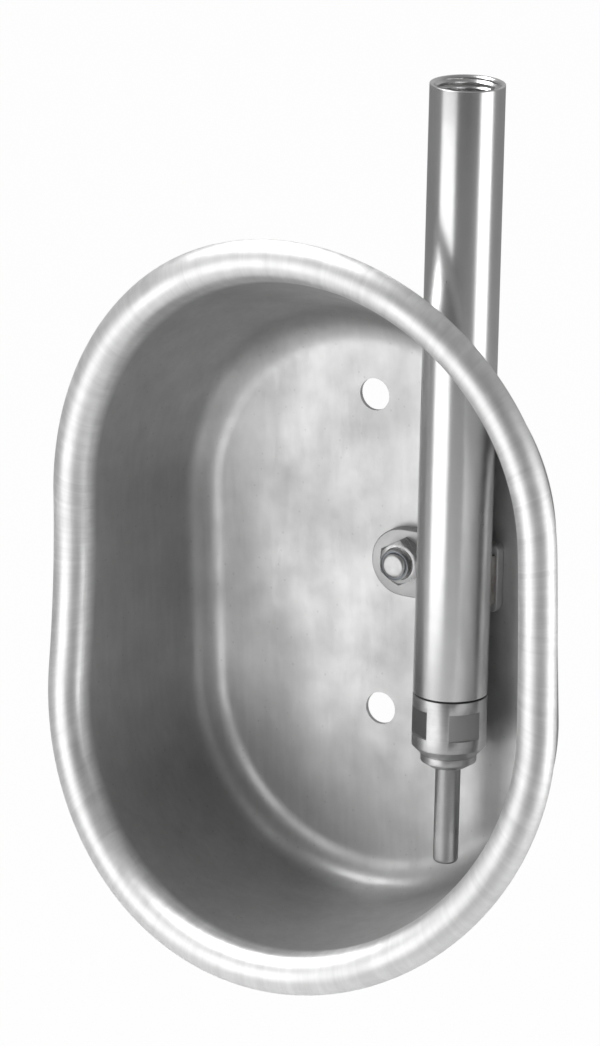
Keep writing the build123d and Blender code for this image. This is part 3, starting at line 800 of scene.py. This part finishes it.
def make_thread(name, low, turns):
    """Thread turns inside one end of the pipe, as a helical comb with a little thickness."""
    root = SOCKET_RADIUS - THREAD_ROOT_GAP
    comb = []
    for k in range(turns):
        z = low + THREAD_PITCH * k
        comb += [(root, z), (THREAD_CREST, z + THREAD_PITCH * THREAD_CREST_FROM),
                 (THREAD_CREST, z + THREAD_PITCH * THREAD_CREST_TO)]
    comb.append((root, low + THREAD_PITCH * turns))
    bm = turned(comb, closed=False, rise=THREAD_PITCH)
    if sum(f.normal.xy.dot(f.calc_center_median().xy) for f in bm.faces) > 0:
        bmesh.ops.reverse_faces(bm, faces=bm.faces)
    bmesh.ops.solidify(bm, geom=list(bm.faces), thickness=THREAD_SKIN)
    finish_piece(bm, name, valve_place, "bowl_assembly", pipe_steel, sharp=25,
                 recalc=False)


def is_flat(face):
    """Whether a face of the valve's body belongs to a spanner flat."""
    across = face.normal.xy
    reach = face.calc_center_median().xy.dot(across)
    return across.length > FLAT_FACING and abs(reach - FLAT_ACROSS / 2) < FLAT_NEAR


def make_valve_body():
    """The body: shoulder, spanner flats, lower chamfer and threaded spigot."""
    outline = [(CHAMBER_RADIUS, BODY_FOOT), (PIPE_RADIUS - BODY_CHAMFER, BODY_FOOT),
               (PIPE_RADIUS, BODY_FOOT + BODY_CHAMFER), (PIPE_RADIUS, SHOULDER),
               (SPIGOT_RADIUS, SHOULDER), (SPIGOT_RADIUS, SPIGOT_TOP - SPIGOT_LEAD),
               (SPIGOT_RADIUS - SPIGOT_LEAD, SPIGOT_TOP), (CHAMBER_RADIUS, SPIGOT_TOP)]
    depth, width = FLAT_CUTTER
    middle = SHOULDER - FLAT_BELOW_SHOULDER - FLAT_HEIGHT / 2
    block = (Matrix.Translation((FLAT_ACROSS / 2 + depth / 2, 0, middle))
             @ Matrix.Diagonal((depth, width, FLAT_HEIGHT, 1)))
    cutters = []
    for k in range(FLAT_COUNT):
        turn = Matrix.Rotation(math.radians(FLAT_AZIMUTH + 360 / FLAT_COUNT * k), 4, "Z")
        cutters.append(bmesh.new())
        bmesh.ops.create_cube(cutters[-1], size=1.0, matrix=turn @ block)
    body = combined(turned(outline, PIPE_STEPS), cutters, "DIFFERENCE")
    mark_faces(body, "milled", is_flat)
    soften(body, BODY_EDGE, angle=18)
    piece = finish_piece(body, "turned_valve_body", valve_place, "bowl_assembly",
                         turned_steel, sharp=28)
    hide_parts("valve_body")


def make_bush():
    """The guide bush with its collar, cone and flared bore."""
    spigot, seat = CHAMBER_RADIUS - PUSH_FIT, BODY_FOOT - BUSH_SEAM
    outline = [(BUSH_BORE_BOTTOM, BUSH_FOOT), (BUSH_BORE_BOTTOM + BUSH_LAND, BUSH_FOOT),
               (BUSH_RADIUS, BUSH_FOOT + BUSH_CONE), (BUSH_RADIUS, seat), (spigot, seat),
               (spigot, BUSH_TOP), (BUSH_BORE_TOP, BUSH_TOP)]
    bm = soften(turned(outline), BUSH_EDGE)
    piece = finish_piece(bm, "turned_guide_bush", valve_place, "bowl_assembly",
                         bush_steel)
    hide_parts("guide_bush")


def make_pin():
    """The drinking pin: ground stem with a rounded foot and the ball head."""
    neck = math.asin(PIN_RADIUS / BALL_RADIUS)
    outline = [(0, PIN_FOOT)]
    outline += arc_points(PIN_RADIUS - PIN_END_RADIUS, PIN_FOOT + PIN_END_RADIUS, PIN_END_RADIUS,
                          -QUARTER, QUARTER, PIN_END_STEPS)
    outline += arc_points(0, BALL_Z, BALL_RADIUS, neck - QUARTER, math.pi - neck, BALL_STEPS)
    outline[-1] = (0, BALL_Z + BALL_RADIUS)
    bm = turned(outline, closed=False)
    pin = finish_piece(bm, "ground_pin", valve_place, "pin", pin_steel)
    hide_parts("drinking_pin")


make_bowl()
make_plate()
make_nut()
make_stud()
make_weld(-1, "weld_bead_left")
make_weld(1, "weld_bead_right")
make_pipe()
make_thread("inlet_thread", PIPE_LENGTH - SOCKET_DEPTH + THREAD_START, THREAD_TURNS)
make_valve_body()
make_bush()
make_pin()

CARRIED = {
    "lock_nut_insert": nylon, "joint_gasket": fibre, "seat_ring": black_rubber,
    "ball_cup": white_plastic, "spring_follower": white_plastic, "return_spring": wire_steel,
    "flow_plate": blue_plastic, "retaining_ring": clip_steel, "strainer_frame": white_plastic,
    "strainer_mesh": mesh_steel,
}
for node, material in CARRIED.items():
    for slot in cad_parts[node].material_slots:
        slot.material = material


# ---- stage --------------------------------------------------------------------------------------
WHITE = grey(1.0)
FLOOR_Z = -0.75
FLOOR_HALF = 12.0        # half the floor's width
FLOOR_TONE = grey(0.85)
FLOOR_SEEN_WHITE = 0.98  # how much of the floor's own tone gives way to white in direct sight
ROOM_FRONT = 0.32        # strength of the room's light from the front
ROOM_BACK = 0.60         # ... and from the back
ROOM_TURNS = (0.3, 0.9)  # how far to the back the light changes, as the Y of the direction
DARK_AZIMUTH = 34.0      # the dim side of the room: degrees right of the front
DARK_SHARE = 0.5         # what is left of the room's light there
DARK_TURNS = (0.45, 0.9)  # how near to that side the light changes, as a cosine
LAMPS = (  # name, azimuth, elevation, distance, width, height, watts
    ("front_left_box", -24, -8, 0.9, 0.80, 0.62, 2.3),
    ("upper_left_box", -45, 26, 2.0, 1.6, 0.8, 2.2),
    ("right_box", 90, -6, 1.6, 1.15, 1.0, 7),
    ("top_box", -70, 62, 2.0, 1.0, 0.8, 34),
)
CAMERA_YAW = math.radians(29.5)     # to the right of the front
CAMERA_PITCH = math.radians(15.3)   # above it
CAMERA_ROLL = math.radians(1.2)
CAMERA_DISTANCE = 2.7146
CAMERA_AIM = Vector((-0.02256, -0.01133, 0.00936))
CAMERA_RANGE = (0.05, 60.0)         # nearest and farthest that it sees
SENSOR_WIDTH = 36.0      # mm
PICTURE_HEIGHT = 1046.0  # pixels
FOCAL_LENGTH = 8540.0    # pixels


def make_floor():
    """A wide pale floor well below the bowl; it lets light and sight through from underneath."""
    bm = bmesh.new()
    bmesh.ops.create_grid(bm, x_segments=1, y_segments=1, size=FLOOR_HALF,
                          matrix=Matrix.Translation((0, 0, FLOOR_Z)))
    floor = new_object("floor", bm)
    material, tree, _ = new_material("floor_white")
    tree.nodes.clear()
    pale = tree.add("ShaderNodeBsdfDiffuse", {"Color": FLOOR_TONE}).outputs["BSDF"]
    white = tree.add("ShaderNodeEmission", {"Color": WHITE}).outputs["Emission"]
    clear = tree.add("ShaderNodeBsdfTransparent", {}).outputs["BSDF"]
    in_sight = tree.add("ShaderNodeLightPath", {}).outputs["Is Camera Ray"]
    below = tree.add("ShaderNodeNewGeometry", {}).outputs["Backfacing"]
    lit = tree.blend_shaders(tree.calc("MULTIPLY", in_sight, FLOOR_SEEN_WHITE), pale, white)
    tree.add("ShaderNodeOutputMaterial", {"Surface": tree.blend_shaders(below, lit, clear)})
    floor.data.materials.append(material)


def make_world():
    """White in direct sight; for everything else a grey room with a lighter back and a dim side."""
    world = bpy.data.worlds.new("studio")
    bpy.context.scene.world = world
    world.use_nodes = True
    tree = Tree(world.node_tree)
    tree.nodes.clear()
    way = tree.add("ShaderNodeTexCoord", {}).outputs["Generated"]
    back = tree.ramp(tree.parts(way)["Y"], *ROOM_TURNS, ROOM_FRONT, ROOM_BACK)
    turn = math.radians(DARK_AZIMUTH)
    facing = tree.add("ShaderNodeVectorMath", {0: way, 1: (math.sin(turn), -math.cos(turn), 0)})
    facing.operation = "DOT_PRODUCT"
    dark = tree.ramp(facing.outputs["Value"], *DARK_TURNS, 1.0, DARK_SHARE)
    strength = tree.calc("MULTIPLY", back, dark)
    room = tree.add("ShaderNodeBackground", {"Strength": strength}).outputs["Background"]
    white = tree.add("ShaderNodeBackground", {"Color": WHITE}).outputs["Background"]
    in_sight = tree.add("ShaderNodeLightPath", {}).outputs["Is Camera Ray"]
    tree.add("ShaderNodeOutputWorld", {"Surface": tree.blend_shaders(in_sight, room, white)})


def soft_box(name, azimuth, elevation, distance, width, height, watts):
    """A rectangular studio lamp; azimuth 0 stands in front of the bowl and 90 to its right."""
    data = bpy.data.lights.new(name, "AREA")
    data.shape = "RECTANGLE"
    data.size = width
    data.size_y = height
    data.energy = watts
    lamp = bpy.data.objects.new(name, data)
    bpy.context.scene.collection.objects.link(lamp)
    a, e = math.radians(azimuth), math.radians(elevation)
    away = Vector((math.sin(a) * math.cos(e), -math.cos(a) * math.cos(e), math.sin(e)))
    lamp.location = away * distance
    lamp.rotation_mode = "QUATERNION"
    lamp.rotation_quaternion = away.to_track_quat("Z", "Y")


def make_camera():
    """A long lens to the right of the bowl's front and above it, rolled a little."""
    yaw, pitch, roll = CAMERA_YAW, CAMERA_PITCH, CAMERA_ROLL
    ahead = Vector((-math.sin(yaw) * math.cos(pitch), math.cos(yaw) * math.cos(pitch),
                    -math.sin(pitch)))
    level = Vector((math.cos(yaw), math.sin(yaw), 0))
    upright = level.cross(ahead)
    right = level * math.cos(roll) - upright * math.sin(roll)
    up = upright * math.cos(roll) + level * math.sin(roll)
    data = bpy.data.cameras.new("camera")
    data.sensor_width = SENSOR_WIDTH
    data.lens = SENSOR_WIDTH * FOCAL_LENGTH / PICTURE_HEIGHT
    data.clip_start, data.clip_end = CAMERA_RANGE
    camera = bpy.data.objects.new("camera", data)
    bpy.context.scene.collection.objects.link(camera)
    turn = Matrix((right, up, -ahead)).transposed().to_4x4()
    camera.matrix_world = Matrix.Translation(CAMERA_AIM - ahead * CAMERA_DISTANCE) @ turn
    bpy.context.scene.camera = camera


make_floor()
make_world()
for lamp_row in LAMPS:
    soft_box(*lamp_row)
make_camera()
bpy.context.scene.view_settings.view_transform = "Standard"
